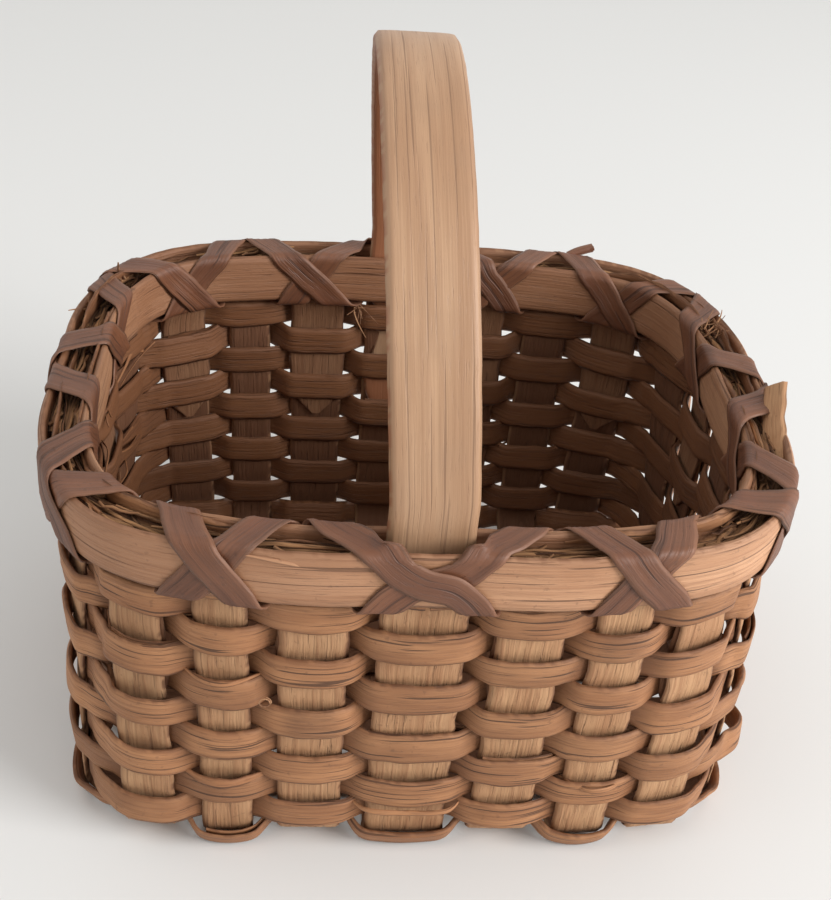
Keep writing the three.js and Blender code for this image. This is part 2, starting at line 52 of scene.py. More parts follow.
class Settings(dict):  # a dictionary whose values are also read with a dot
    __getattr__ = dict.__getitem__


def nodeBox(node):
    low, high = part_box(node)
    return [value / mm for value in low], [value / mm for value in high]


def middleHeight(node):
    low, high = nodeBox(node)
    return (low[2] + high[2]) / 2


def unit(vector):
    return vector / np.linalg.norm(vector)


def limit(value, low=0, high=1):
    return min(max(value, low), high)


def blend(start, end, share):
    return start + (end - start) * share


def chance(*seeds):  # an even random number from 0 to 1 that only depends on its seeds
    return random.Random(repr(seeds)).random()


def sway(*seeds):  # the same, from -1 to 1
    return 2 * chance(*seeds) - 1


def ripple(*place):  # smooth noise at a place given by three numbers
    return noise.noise(Vector(place))


def listed(names, *rows):  # one dictionary for each row of values
    return [Settings(zip(names.split(), row)) for row in rows]


def shares(steps):  # from 0 to 1 in even steps
    return [step / steps for step in range(steps + 1)]


def movedOut(placed, offset):  # a placed point moved outward, and its outward direction
    point, out, _ = placed
    return point + out * offset, out


def spansOf(points):
    return np.linalg.norm(np.diff(points, axis=0), axis=1)


def reachOf(spans):  # the way covered at the start and after each span
    return np.concatenate([[0.0], np.cumsum(spans)])


def addObject(name, data):
    made = bpy.data.objects.new(name, data)
    bpy.context.scene.collection.objects.link(made)
    return made


def meshObject(name, body):
    mesh = bpy.data.meshes.new(name)
    body.to_mesh(mesh)
    body.free()
    return addObject(name, mesh)


def newMaterial(name):
    material = bpy.data.materials.new(name)
    material.use_nodes = True
    return material, material.node_tree.nodes["Principled BSDF"]


# Camera and light
camera = Settings(
    place=(-18.4, -190.8, 174.8), yaw=0.1, pitch=0.5865, roll=0.0856, lens=55.2,
    nearest=10,
)
studio = Settings(
    floorHalf=1500, floorTone=(0.77, 0.77, 0.76), floorRough=0.9,
    skyTone=(1.0, 0.99, 0.97), skyStrength=0.68, aim=(0, 0, 40),
    keyPlace=(880, -460, 470), keySize=560, keyPower=12.4,
    fillPlace=(-300, -60, 460), fillSize=420, fillPower=0.3,
)


def placeCamera():
    yaw, pitch, roll = camera.yaw, camera.pitch, camera.roll
    ahead = Vector((sin(yaw) * cos(pitch), cos(yaw) * cos(pitch), -sin(pitch)))
    level = Vector((cos(yaw), -sin(yaw), 0))
    top = level.cross(ahead)
    right = level * cos(roll) + top * sin(roll)
    above = top * cos(roll) - level * sin(roll)
    data = bpy.data.cameras.new("photoCamera")
    data.lens = camera.lens
    data.clip_start = camera.nearest * mm
    eye = addObject("photoCamera", data)
    turned = Matrix((right, above, -ahead)).transposed().to_4x4()
    eye.matrix_world = Matrix.Translation(Vector(camera.place) * mm) @ turned
    bpy.context.scene.camera = eye


def addLamp(name):
    data = bpy.data.lights.new(f"{name}Lamp", "AREA")
    data.size = studio[f"{name}Size"] * mm
    data.energy = studio[f"{name}Power"]
    lamp = addObject(f"{name}Lamp", data)
    lamp.location = Vector(studio[f"{name}Place"]) * mm
    lamp.rotation_euler = (Vector(studio.aim) * mm - lamp.location).to_track_quat("-Z", "Y").to_euler()


# Shader maths: a wire wraps a socket, and sums on wires add Math nodes
class Wire:
    def __init__(self, tree, socket=None):
        self.tree = tree
        self.socket = socket

    def node(self, kind, settings, inputs, output=0):
        made = self.tree.nodes.new(kind)
        for name, value in settings.items():
            setattr(made, name, value)
        for name, value in inputs.items():
            if isinstance(value, Wire):
                self.tree.links.new(value.socket, made.inputs[name])
            else:
                made.inputs[name].default_value = value
        return Wire(self.tree, made.outputs[output])

    def maths(self, operation, first, second):
        return self.node("ShaderNodeMath", {"operation": operation}, {0: first, 1: second})

    def __add__(self, other):
        return self.maths("ADD", self, other)

    __radd__ = __add__

    def __mul__(self, other):
        return self.maths("MULTIPLY", self, other)

    def over(self, low, high):  # 0 below low, 1 above high, smooth between
        limits = {"Value": self, "From Min": low, "From Max": high}
        return self.node("ShaderNodeMapRange", {"interpolation_type": "SMOOTHSTEP"}, limits)

    def tint(self, first, second):  # the first colour where this is 0, the second where it is 1
        return self.node("ShaderNodeMix", {"data_type": "RGBA"}, {0: self, 6: first, 7: second}, 2)

    def beside(self, output):  # another output of the same node
        return Wire(self.tree, self.socket.node.outputs[output])


def paint(tone):  # a colour as a screen shows it, 0 to 255, made linear for the shader
    shown = Color([value / 255 for value in tone])
    return (*shown.from_srgb_to_scene_linear(), 1.0)


# Streaks run along the grain, each kind with its detail and seed; spots have their scale and detail.
streakKinds = {"broad": (2.0, 1.7), "fine": (5.0, 5.3), "pore": (3.0, 9.1), "crack": (1.0, 13.9)}
spotKinds = {"blotch": (90.0, 3.0), "speck": (900.0, 2.0)}
markRoughness = 0.6
crackSoft = 0.05
fades = {  # the noise value where each mark starts and where it is full
    "broad": (0.30, 0.70),
    "fine": (0.42, 0.72),
    "pore": (0.58, 0.72),
    "blotch": (0.50, 0.75),
    "speck": (0.66, 0.74),
}


# The finish of one kind of splint, laid on the strips' own grain map
def splintFinish(name, look):
    material, shader = newMaterial(name)
    tree = material.node_tree
    wire = Wire(tree)
    grainMap = wire.node("ShaderNodeUVMap", {"uv_map": "grain"}, {})
    along = wire.node("ShaderNodeSeparateXYZ", {}, {0: grainMap})
    across = along.beside(1)
    wear = wire.node("ShaderNodeAttribute", {"attribute_name": "wear"}, {})
    inside = wire.node("ShaderNodeSeparateColor", {}, {0: wear})

    marks = {}
    for kind, (detail, seed) in streakKinds.items():
        stretched = {0: along * look[kind + "Along"], 1: across * look[kind + "Across"], 2: seed}
        place = wire.node("ShaderNodeCombineXYZ", {}, stretched)
        form = {"Vector": place, "Scale": 1.0, "Detail": detail, "Roughness": markRoughness}
        marks[kind] = wire.node("ShaderNodeTexNoise", {}, form)
    objectPlace = wire.node("ShaderNodeTexCoord", {}, {}, "Object")
    for kind, (scale, detail) in spotKinds.items():
        form = {"Vector": objectPlace, "Scale": scale, "Detail": detail}
        marks[kind] = wire.node("ShaderNodeTexNoise", {}, form)
    faded = {kind: marks[kind].over(*limits) for kind, limits in fades.items()}
    faded["crack"] = marks["crack"].over(look.crackFrom, look.crackFrom + crackSoft)

    colour = faded["broad"].tint(paint(look.light), paint(look.mid))
    # The inside mark is painted shade mixed with age, the edge mark tints the edges, and the dirt mark is
    # real dirt
    for mark, depth, tone in (
        (faded["fine"], "fineDepth", "dark"),
        (faded["pore"], "poreDepth", "dark"),
        (faded["blotch"], "blotchDepth", "stain"),
        (faded["speck"], "speckDepth", "crackTone"),
        (faded["crack"], "crackDepth", "crackTone"),
        (inside, "insideDepth", "insideTone"),
        (inside.beside(1), "edgeDepth", "edgeTone"),
        (inside.beside(2), "dirtDepth", "crackTone"),
    ):
        colour = (mark * look[depth]).tint(colour, paint(look[tone]))
    tree.links.new(colour.socket, shader.inputs["Base Color"])

    rough = look.rough + marks["fine"] * look.fineRough + faded["crack"] * look.crackRough
    tree.links.new(rough.socket, shader.inputs["Roughness"])
    height = marks["fine"] * look.fineBump + faded["pore"] * -look.poreBump
    height = height + faded["crack"] * -look.crackBump + marks["speck"] * look.speckBump
    form = {"Height": height, "Strength": look.bump, "Distance": look.bumpDepth * mm}
    bump = wire.node("ShaderNodeBump", {}, form)
    tree.links.new(bump.socket, shader.inputs["Normal"])
    return material


# insideTone and insideDepth paint shade on the faces turned to the basket's inside, mixed with the older
# colour of the splint's inner side
baseLook = Settings(
    broadAlong=0.5, broadAcross=2.2, fineAlong=0.7, fineAcross=26.0,
    poreAlong=2.4, poreAcross=40.0, crackAlong=0.55, crackAcross=19.0,
    crackFrom=0.62, crackDepth=0.8, crackBump=1.6, crackRough=0.1,
    fineDepth=0.5, fineBump=0.9, fineRough=0.18, poreDepth=0.3, poreBump=0.5,
    blotchDepth=0.4, speckDepth=0.25, speckBump=0.1,
    insideDepth=0.75, edgeDepth=0.5, dirtDepth=0.6, rough=0.55, bump=0.6, bumpDepth=0.4,
    crackTone=(60, 36, 22), edgeTone=(100, 62, 38),
)
stakeLook = Settings(
    baseLook,
    light=(196, 152, 112), mid=(181, 135, 97), dark=(144, 98, 66),
    stain=(160, 110, 75), insideTone=(98, 59, 35), insideDepth=0.92,
    fineAlong=0.8, fineAcross=20.0, fineDepth=0.6, fineBump=1.0, poreDepth=0.25,
    crackDepth=0.25, crackAlong=0.8, crackFrom=0.65, edgeDepth=0.3, rough=0.7, bump=0.7,
)
weaverLook = Settings(
    baseLook,
    light=(181, 128, 86), mid=(153, 103, 66), dark=(109, 68, 41),
    stain=(138, 91, 57), insideTone=(111, 68, 38), insideDepth=0.85,
)
rimLook = Settings(
    baseLook,
    light=(200, 152, 116), mid=(181, 133, 98), dark=(138, 92, 62),
    stain=(154, 106, 72), insideTone=(122, 77, 48), broadAlong=0.3, fineAlong=0.4,
    crackAlong=0.3, crackAcross=17.0, crackDepth=0.65, crackFrom=0.64, rough=0.5,
)
handleLook = Settings(
    baseLook,
    light=(183, 146, 114), mid=(165, 127, 96), dark=(134, 95, 68),
    stain=(158, 125, 98), insideTone=(148, 88, 56), insideDepth=0.8,
    broadAlong=0.25, broadAcross=2.6, fineAlong=0.25, fineAcross=14.0, fineDepth=0.35,
    crackAlong=0.2, crackDepth=0.3, edgeDepth=0.15, speckDepth=0.0, rough=0.42, bump=0.3,
)
lashingLook = Settings(
    baseLook,
    light=(118, 74, 49), mid=(97, 58, 38), dark=(62, 37, 25),
    stain=(124, 76, 54), insideTone=(68, 41, 30), insideDepth=0.3,
    crackTone=(38, 22, 16), edgeTone=(152, 110, 84), edgeDepth=0.4,
    crackAlong=0.35, crackAcross=11.0, crackDepth=0.5,
    fineAlong=0.4, fineDepth=0.45, rough=0.42, bump=0.5,
)
grassLook = Settings(
    baseLook,
    light=(184, 136, 92), mid=(120, 78, 50), dark=(52, 30, 19),
    stain=(90, 58, 34), insideTone=(78, 50, 30), insideDepth=0.3,
    broadAcross=5.0, fineAcross=24.0, fineDepth=0.8, rough=0.8, bump=0.9,
)

finishes = {slot: splintFinish(name, look) for slot, name, look in (
    ("stake_splint", "stakeSplint", stakeLook),
    ("weaver_splint", "weaverSplint", weaverLook),
    ("rim_splint", "rimSplint", rimLook),
    ("handle_splint", "handleSplint", handleLook),
    ("lashing_reed", "lashingReed", lashingLook),
    ("rim_filler", "rimGrass", grassLook),
)}
print("stage: finishes made")


# The wall in plan, as the solids have it. Rows count down from the rim: row 0 is the one under it.
wall = Settings(
    longWidths=[8.6, 7.8, 9.8, 12.6, 9.8, 8.4, 8.8], shortWidths=[9.2, 9.0, 10.0, 9.0, 9.2],
    longGap=3.8, shortGap=4.9, cornerRoomLong=7.7, cornerRoomWide=9.4,
    flareLong=2.1, flareWide=2.4, powerLow=7.2, powerHigh=3.6, bendRadius=4.4,
    edgeTilt=radians(62), clearance=0.27, layRise=0.585, stakeThick=0.9, tailThick=0.7,
    weaverThick=0.8, handleThick=1.6, handleTailThick=1.0, rimRoom=0.3, rows=9,
    tuckRows=(2, 4), handleRows=(1, 3, 5),
)


def rowNode(row):
    return "rim_row_weaver" if row == 0 else f"weaver_row_{wall.rows + 1 - row}"


stakeHalf = wall.stakeThick / 2
rowLevels = {row: middleHeight(rowNode(row)) for row in range(wall.rows + 1)}
rimLow, rimHigh = [corner[2] for corner in nodeBox("outer_rim")]
rimLevel = (rimLow + rimHigh) / 2
baseLevel = stakeHalf + wall.layRise
bendTop = baseLevel + wall.bendRadius


def spread(widths, gap):
    total = sum(widths) + gap * (len(widths) - 1)
    edge = -total / 2
    centres = []
    for wide in widths:
        centres.append(edge + wide / 2)
        edge += wide + gap
    return centres, total / 2


longCentres, longHalf = spread(wall.longWidths, wall.longGap)
shortCentres, shortHalf = spread(wall.shortWidths, wall.shortGap)
middle = len(longCentres) // 2

uprights = []
for face, widths, order in (
    ("front", wall.longWidths, 1),
    ("right", wall.shortWidths, 1),
    ("back", wall.longWidths, -1),
    ("left", wall.shortWidths, -1),
):
    uprights += [Settings(face=face, lane=lane, wide=wide) for lane, wide in enumerate(widths)][::order]
rounds = len(uprights)
for number, one in enumerate(uprights):
    one["tucked"] = number % 2 == 0
    one["handled"] = one.face in ("front", "back") and one.lane == middle


def signedPower(value, power):
    return copysign(abs(value) ** power, value)


def plan(height):
    rise = limit((height - bendTop) / (rimHigh - bendTop))
    return Settings(
        long=longHalf + wall.cornerRoomLong + wall.flareLong * rise,
        wide=shortHalf + wall.cornerRoomWide + wall.flareWide * rise,
        power=blend(wall.powerHigh, wall.powerLow, (1 - rise) ** 2),
        grow=1 + wall.flareLong * rise / (longHalf + wall.cornerRoomLong),
    )


def wallFrame(height, angle):  # a point of the wall, its outward direction and its sideways one
    at = plan(height)
    x = at.long * signedPower(cos(angle), 2 / at.power)
    y = at.wide * signedPower(sin(angle), 2 / at.power)
    outX = signedPower(x / at.long, at.power - 1) / at.long
    outY = signedPower(y / at.wide, at.power - 1) / at.wide
    out = unit(np.array([outX, outY, 0.0]))
    return np.array([x, y, height]), out, np.cross(upward, out)


def uprightAngle(index, height):
    turns, place = divmod(index, rounds)
    at = plan(height)
    lane, face = uprights[place].lane, uprights[place].face
    if face in ("front", "back"):
        angle = acos(signedPower(longCentres[lane] * at.grow / at.long, at.power / 2))
        angle = -angle if face == "front" else angle
    else:
        angle = asin(signedPower(shortCentres[lane] * at.grow / at.wide, at.power / 2))
        angle = angle if face == "right" else pi - angle
    return angle + turns * 2 * pi


def uprightFrame(index, height):
    return wallFrame(height, uprightAngle(index, height))


def edgeAngle(index, height, way):
    at = plan(height)
    centre = uprightAngle(index, height)
    point, _, side = wallFrame(height, centre)
    edge = point + side * way * uprights[index % rounds].wide / 2
    found = atan2(
        signedPower(edge[1] / at.wide, at.power / 2),
        signedPower(edge[0] / at.long, at.power / 2),
    )
    return found + round((centre - found) / (2 * pi)) * 2 * pi


def ringFrame(place, height):  # a place counted in uprights, so 3.5 is the gap after upright 3
    before = floor(place)
    share = place - before
    gap = (edgeAngle(before, height, 1) + edgeAngle(before + 1, height, -1)) / 2
    if share < 0.5:
        angle = blend(uprightAngle(before, height), gap, share * 2)
    else:
        angle = blend(gap, uprightAngle(before + 1, height), share * 2 - 1)
    return wallFrame(height, angle)


def bendFrame(index, share, radius):  # part of the way round the bend from the base to the wall
    point, out, _ = uprightFrame(index, bendTop)
    if uprights[index % rounds].face in ("front", "back"):
        square = np.array([0.0, copysign(1, point[1]), 0.0])
    else:
        square = np.array([copysign(1, point[0]), 0.0, 0.0])
    turn = share * pi / 2
    centre = point + square * (radius * sin(turn) - wall.bendRadius)
    centre[2] = bendTop - radius * cos(turn)
    facing = unit(blend(square, out, share))
    return centre, facing, np.cross(upward, facing)


# A strip follows keys: centre, face direction, width, thickness and, where it has them, age with painted
# shade, and dirt
strip = Settings(
    spacing=0.8, leastSpan=1e-4, acrossStep=0.62, fewestSteps=4,
    edgeRoundness=5, edgeWear=6,
    mapUnit=10,  # millimetres for one unit of the grain map
    mapRange=40, mapUnder=3, raggedAlong=0.35, raggedApart=3, raggedSeed=7.7,
    ridgeAlong=0.10, ridgeAcross=1.2, ridgeSeed=3.1, ridgeUnder=50,
    ridgeForm=(0.8, 2.0, 3),  # fractal noise: roughness, step between its levels, their number
    weldWithin=1e-7,
)


def smoothKeys(keys, spacing):
    rows = [[*point, *face, *sizes, *[0.0] * (4 - len(sizes))] for point, face, *sizes in keys]
    table = np.array(rows, dtype=float)
    table = table[np.concatenate([[True], spansOf(table[:, :3]) > strip.leastSpan])]
    spans = spansOf(table[:, :3])
    reach = reachOf(spans)
    slopes = np.gradient(table, reach, axis=0)
    count = max(int(reach[-1] / spacing), strip.fewestSteps)
    where = np.linspace(0, reach[-1], count + 1)
    part = np.clip(np.searchsorted(reach, where, side="right") - 1, 0, len(spans) - 1)
    share = ((where - reach[part]) / spans[part])[:, None]
    length = spans[part][:, None]
    startPull = (share**3 - 2 * share**2 + share) * length
    endPull = (share**3 - share**2) * length
    start = (2 * share**3 - 3 * share**2 + 1) * table[part] + startPull * slopes[part]
    end = (3 * share**2 - 2 * share**3) * table[part + 1] + endPull * slopes[part + 1]
    return start + end, where


def addStrip(body, keys, seed, arch=0.0, furrow=0.018, ragged=0.08, spacing=strip.spacing, shape=None):
    stations, where = smoothKeys(keys, spacing)
    run = np.gradient(stations[:, :3], axis=0)
    run /= np.linalg.norm(run, axis=1)[:, None]
    face = stations[:, 3:6]
    face = face - (face * run).sum(axis=1)[:, None] * run
    face /= np.linalg.norm(face, axis=1)[:, None]
    sideways = np.cross(run, face)
    perFace = max(int(stations[:, 6].max() / strip.acrossStep), strip.fewestSteps)
    lengthwise, around = len(stations) - 1, 2 * perFace
    shiftAlong, shiftAcross = [strip.mapRange * chance(seed, way) for way in ("along", "across")]
    roundness = strip.edgeRoundness

    def acrossShare(turn, onTop):
        return turn / perFace if onTop else 2 - turn / perFace

    grain = body.loops.layers.uv["grain"]
    wear = body.verts.layers.float_color["wear"]
    verts = bmesh.ops.create_grid(body, x_segments=lengthwise, y_segments=around, size=1)["verts"]
    places = {}
    for vert in verts:
        places[vert] = (round((vert.co.x + 1) / 2 * lengthwise), round((vert.co.y + 1) / 2 * around))
    for quad in {quad for vert in verts for quad in vert.link_faces}:
        onTop = min(places[loop.vert][1] for loop in quad.loops) < perFace
        for loop in quad.loops:
            station, turn = places[loop.vert]
            acrossAt = (acrossShare(turn, onTop) - 0.5) * stations[station][6]
            mapAcross = acrossAt / strip.mapUnit + shiftAcross + (0 if onTop else strip.mapUnder)
            loop[grain].uv = (where[station] / strip.mapUnit + shiftAlong, mapAcross)
        quad.smooth = True
    for vert, (station, turn) in places.items():
        onTop = turn <= perFace
        across = 2 * acrossShare(turn, onTop) - 1
        wide, thick, ageAndShade, soiled = stations[station][6:10]
        along = where[station]
        rounding = (1 - min(abs(across), 1) ** roundness) ** (1 / roundness)
        edgeSide = copysign(strip.raggedApart, across)
        rag = ripple(along * strip.raggedAlong, edgeSide, seed * strip.raggedSeed)
        acrossAt = across * wide / 2 * (1 + ragged * rag)
        layer = seed * strip.ridgeSeed + (0 if onTop else strip.ridgeUnder)
        spot = Vector((along * strip.ridgeAlong, acrossAt * strip.ridgeAcross, layer))
        ridge = noise.fractal(spot, *strip.ridgeForm)
        rise = (1 if onTop else -1) * (thick / 2 * rounding + furrow * ridge * rounding)
        rise += arch * (1 - across * across)
        spot = stations[station][:3] + sideways[station] * acrossAt + face[station] * rise
        vert.co = Vector(shape(spot) if shape else spot) * mm
        # First channel: painted shade with age, full on the inner face and elsewhere as the keys ask;
        # second: nearness to the edge; third: dirt
        inner = 0.0 if onTop else 1.0
        vert[wear] = (max(inner, min(ageAndShade, 1)), abs(across) ** strip.edgeWear, limit(soiled), 1.0)
    merged = bmesh.ops.find_doubles(body, verts=verts, dist=strip.weldWithin)["targetmap"]
    bmesh.ops.weld_verts(body, targetmap=merged)
    rims = {edge for vert in verts if vert.is_valid for edge in vert.link_edges if edge.is_boundary}
    for cap in bmesh.ops.holes_fill(body, edges=list(rims), sides=0)["faces"]:
        cap.smooth = False
        for edge in cap.edges:
            edge.smooth = False


def newBody():
    body = bmesh.new()
    body.loops.layers.uv.new("grain")
    body.verts.layers.float_color.new("wear")
    return body


def finishPiece(body, name, slot):
    bmesh.ops.recalc_face_normals(body, faces=body.faces)
    piece = meshObject(name, body)
    piece.data.materials.append(finishes[slot])
    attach(piece, "root")
    return piece


def stripPiece(name, slot, strands, seed, **form):  # one piece of one or more strips
    body = newBody()
    for number, keys in enumerate(strands):
        addStrip(body, keys, seed + number, **form)
    return finishPiece(body, name, slot)


# Weavers
weaver = Settings(
    thick=0.95, wide=5.75, wideSway=0.05, edgeWide=4.8, edgeRoom=0.12,
    lapThick=0.5, lapShift=0.7, lapUprights=2, firstLap=2, lapStep=7, touch=0.04,
    bow={"front": 0.82, "right": 0.5, "back": 0.3, "left": 0.7}, innerBow=0.2, bowSway=0.3,
    slack={(8, 7): 2.4, (6, 7): 0.7, (4, 7): 0.5, (5, 0): 0.4, (7, 0): 0.5},  # extra bow by row, upright
    levelSway=0.22, tiltSway=0.10, toneSway=0.4,
    smudges={(5, 2): 0.5, (2, 5): 0.4, (6, 22): 0.6, (7, 11): 0.5},  # dark spots by row and upright
    smudgeFrom=0.5, cornerSteps=4, rimRowButt=0.3,
)
weaverFace = stakeHalf + weaver.touch


def passOut(row, index):
    return (row + index) % 2 != 0


def passOffset(row, index, thick, lift):
    upright = uprights[index % rounds]
    if passOut(row, index):
        return weaverFace + thick / 2 + lift
    cover = stakeHalf
    if upright.tucked and row in wall.tuckRows:
        cover += wall.clearance + wall.tailThick
    if upright.handled and row in wall.handleRows:
        cover += wall.clearance + wall.handleTailThick
    return lift - cover - weaver.touch - thick / 2


def lapStart(row):
    wanted = weaver.firstLap + weaver.lapStep * row
    return (wanted if passOut(row, wanted) else wanted + 1) % rounds


def rowStations(row, lapped):
    start = lapStart(row)
    last = start + rounds + (1 if lapped else 0)
    for index in range(start, last + 1):
        turn = index % rounds
        face = uprights[turn].face
        half = uprights[turn].wide / 2
        opening = lapped and index < start + weaver.lapUprights
        closing = lapped and index > last - weaver.lapUprights
        thick = weaver.lapThick if opening or closing else weaver.thick
        lift = 0.0
        if opening and index > start:
            lift = -weaver.lapShift
        if closing and index < last:
            lift = weaver.lapShift
        offset = passOffset(row, index, thick, lift)
        way = 1 if passOut(row, index) else -1
        inset = half - weaver.lapShift if lapped else -weaver.rimRowButt
        low = -inset if index == start else -half
        high = inset if index == last else half
        bow = weaver.bow[face] if way > 0 else weaver.innerBow
        bow *= 1 + weaver.bowSway * sway("bow", row, turn)
        bow += weaver.slack.get((row, turn), 0)
        for share in quarters:
            side = blend(low, high, share)
            belly = 1 - (side / half) ** 2
            out = offset + bow * belly * way
            yield Settings(index=index, side=side, belly=belly, offset=out, thick=thick)
        if index < last and uprights[(index + 1) % rounds].face != face:
            nextOffset = passOffset(row, index + 1, thick, 0)
            for step in range(weaver.cornerSteps):
                share = (step + 1) / (weaver.cornerSteps + 1)
                out = blend(offset, nextOffset, share)
                yield Settings(index=index, share=share, belly=0, offset=out, thick=thick)


def cornerFrame(station, level):
    start = edgeAngle(station.index, level, 1)
    end = edgeAngle(station.index + 1, level, -1)
    return wallFrame(level, blend(start, end, station.share))


def wallRowKeys(row, level, lapped):
    plainOut = weaverFace + weaver.thick / 2
    for station in rowStations(row, lapped):
        placed = uprightFrame(station.index, level) if "side" in station else cornerFrame(station, level)
        point, out = movedOut(placed, station.offset)
        point += placed[2] * station.get("side", 0)
        turn = station.index % rounds
        point[2] += weaver.levelSway * sway("level", row, turn)
        face = out + upward * weaver.tiltSway * sway("tilt", row, turn)
        wide = weaver.wide * (1 + weaver.wideSway * sway("wide", row, turn))
        # painted shade: the weaver grows darker where it passes inside, behind the stakes
        ageAndShade = limit(-station.offset / plainOut)
        soiled = weaver.toneSway * chance("tone", row, turn) ** 2
        if station.belly > weaver.smudgeFrom:
            soiled = max(soiled, weaver.smudges.get((row, turn), 0))
        yield point, unit(face), wide, station.thick, ageAndShade, soiled


def edgeRowKeys(row):  # the first row lies on the bend between the base and the wall
    tilt = wall.edgeTilt
    share = tilt / (pi / 2)
    bendRadius = wall.bendRadius
    half = weaver.thick / 2
    layLeft = wall.layRise * (1 - share)
    outsideBy = layLeft + stakeHalf + weaver.edgeRoom + half
    hollow = bendRadius - layLeft - stakeHalf - weaver.edgeRoom
    insideBy = bendRadius + half - sqrt(hollow**2 - (weaver.edgeWide / 2) ** 2)
    plainOut = weaverFace + half
    centreHeight = baseLevel + bendRadius * (1 - cos(tilt))
    for station in rowStations(row, True):
        mix = limit((station.offset + plainOut) / (2 * plainOut))
        offset = station.offset + blend(plainOut - insideBy, outsideBy - plainOut, mix)
        if "side" in station:
            point, out, side = bendFrame(station.index, share, bendRadius)
            point = point + side * station.side + out * (offset * sin(tilt))
        else:
            point, out, _ = cornerFrame(station, bendTop)
            point = point + out * (offset * sin(tilt) - bendRadius * (1 - sin(tilt)))
        point[2] = centreHeight - offset * cos(tilt)
        face = out * sin(tilt) - upward * cos(tilt)
        yield point, unit(face), weaver.edgeWide, station.thick


for row, level in rowLevels.items():
    keys = wallRowKeys(row, level, row > 0)
    piece = stripPiece(f"wovenRow{wall.rows + 1 - row}", "weaver_splint", [keys], seed=row + 1)
    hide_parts(rowNode(row))
edgePiece = stripPiece("wovenEdgeRow", "weaver_splint", [edgeRowKeys(wall.rows + 1)], seed=11)
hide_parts("base_edge_weaver")
print("stage: weavers made")


# Stakes
stake = Settings(
    wave=0.16, clearOfBend=2, foldRoom=0.2, pointWide=1.6, pointRoom=0.9,
    shoulderDown=0.45, shoulderWide=0.85, bendSteps=6, foldSteps=6, furrow=0.07,
    ragged=0.05, tailAge=0.8, toneSway=0.3,
)
stakeLines = listed(
    "name stem faces widths crossings crossWidths",
    ("long", "front_to_back", ("front", "back"), wall.longWidths, shortCentres, wall.shortWidths),
    ("short", "left_to_right", ("left", "right"), wall.shortWidths, longCentres, wall.longWidths),
)
rowPitch = rowLevels[1] - rowLevels[2]
crown = rowLevels[0] + weaver.wide / 2 + stake.foldRoom
rowFace = stakeHalf + wall.clearance + wall.weaverThick
foldTail = -(rowFace + 2 * stake.foldRoom + wall.tailThick / 2)
tuckTail = -(stakeHalf + wall.clearance + wall.tailThick / 2)


def standingKeys(index, rise):
    upright = uprights[index]
    sizes = (upright.wide, wall.stakeThick, 0.0, stake.toneSway * chance("tone", index))
    for share in shares(stake.bendSteps):
        turn = share * pi / 2
        point, out, _ = bendFrame(index, share, wall.bendRadius - rise * (1 - share))
        yield point, out * sin(turn) - upward * cos(turn), *sizes
    for row in sorted(rowLevels, reverse=True):
        if rowLevels[row] > bendTop + stake.clearOfBend:
            push = -stake.wave if passOut(row, index) else stake.wave
            yield *movedOut(uprightFrame(index, rowLevels[row]), push), *sizes
    yield *movedOut(uprightFrame(index, crown), 0), *sizes
    if upright.tucked:
        yield from foldKeys(index)


def foldKeys(index):  # over the rim row and down inside, to a point
    full = uprights[index].wide
    top, out, _ = uprightFrame(index, crown)
    for share in shares(stake.foldSteps)[1:]:
        turn = share * pi
        centre = top + out * (foldTail / 2 - foldTail / 2 * cos(turn))
        centre[2] = crown - foldTail / 2 * sin(turn)
        face = out * cos(turn) + upward * sin(turn)
        thick = blend(wall.stakeThick, wall.tailThick, share)
        # painted shade with age grows as the tail folds over into the basket's inside
        yield centre, face, full, thick, stake.tailAge * share
    lastTuck = rowLevels[wall.tuckRows[-1]]
    pointDown = 2 * rowPitch - weaver.wide / 2 - stake.pointRoom
    spots = [
        (rimLow, foldTail, 1.0),
        (rowLevels[1], tuckTail, 1.0),
        (lastTuck, tuckTail, 1.0),
        (lastTuck - pointDown * stake.shoulderDown, tuckTail, stake.shoulderWide),
        (lastTuck - pointDown, tuckTail, stake.pointWide / full),
    ]
    for height, offset, share in spots:
        point, out = movedOut(uprightFrame(index, height), offset)
        yield point, -out, full * share, wall.tailThick, stake.tailAge


def stakeKeys(line, lane):
    isLong = line.name == "long"
    base = []
    for number, at in enumerate(line.crossings):
        above = (lane + number) % 2 == 0
        height = baseLevel + wall.layRise * (1 if above == isLong else -1)
        for step in (-0.5, 0, 0.5):
            along = at + step * line.crossWidths[number]
            place = (longCentres[lane], along) if isLong else (along, shortCentres[lane])
            base.append((np.array([*place, height]), -upward, line.widths[lane], wall.stakeThick))
    ends = []
    for face, meeting in zip(line.faces, (base[0], base[-1])):
        index = next(i for i, one in enumerate(uprights) if one.face == face and one.lane == lane)
        ends.append(list(standingKeys(index, meeting[0][2] - baseLevel)))
    return ends[0][::-1] + base + ends[1]


for line in stakeLines:
    for lane in range(len(line.widths)):
        piece = stripPiece(
            f"{line.name}Stake{lane + 1}", "stake_splint", [stakeKeys(line, lane)],
            seed=20 + lane, furrow=stake.furrow, ragged=stake.ragged,
        )
        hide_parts(f"stake_{line.stem}_{lane + 1}")
print("stage: stakes made")


# Rims
rim = Settings(
    thick=1.3, outerFace=rowFace + wall.clearance + wall.rimRoom,
    innerFace=-(stakeHalf + wall.clearance) - wall.handleThick - wall.clearance,
    scarfLong=16, scarfTip=0.3, outerScarf=8.2, innerScarf=19.2, perUpright=6,
    sway=0.14, swayScale=0.8, riseScale=0.6, riseSeed=4, seedStep=3, pinch=0.22,
    innerAge=0.85, leftAge=0.6, leftFrom=14, leftOver=40, furrow=0.05, ragged=0.02,
)
rimTall = rimHigh - rimLow
rimOutside = rim.outerFace + rim.thick
rimInside = rim.innerFace - rim.thick


def pinchAt(place):  # in where the lashing crosses, out between
    return rim.pinch * cos(place * pi)


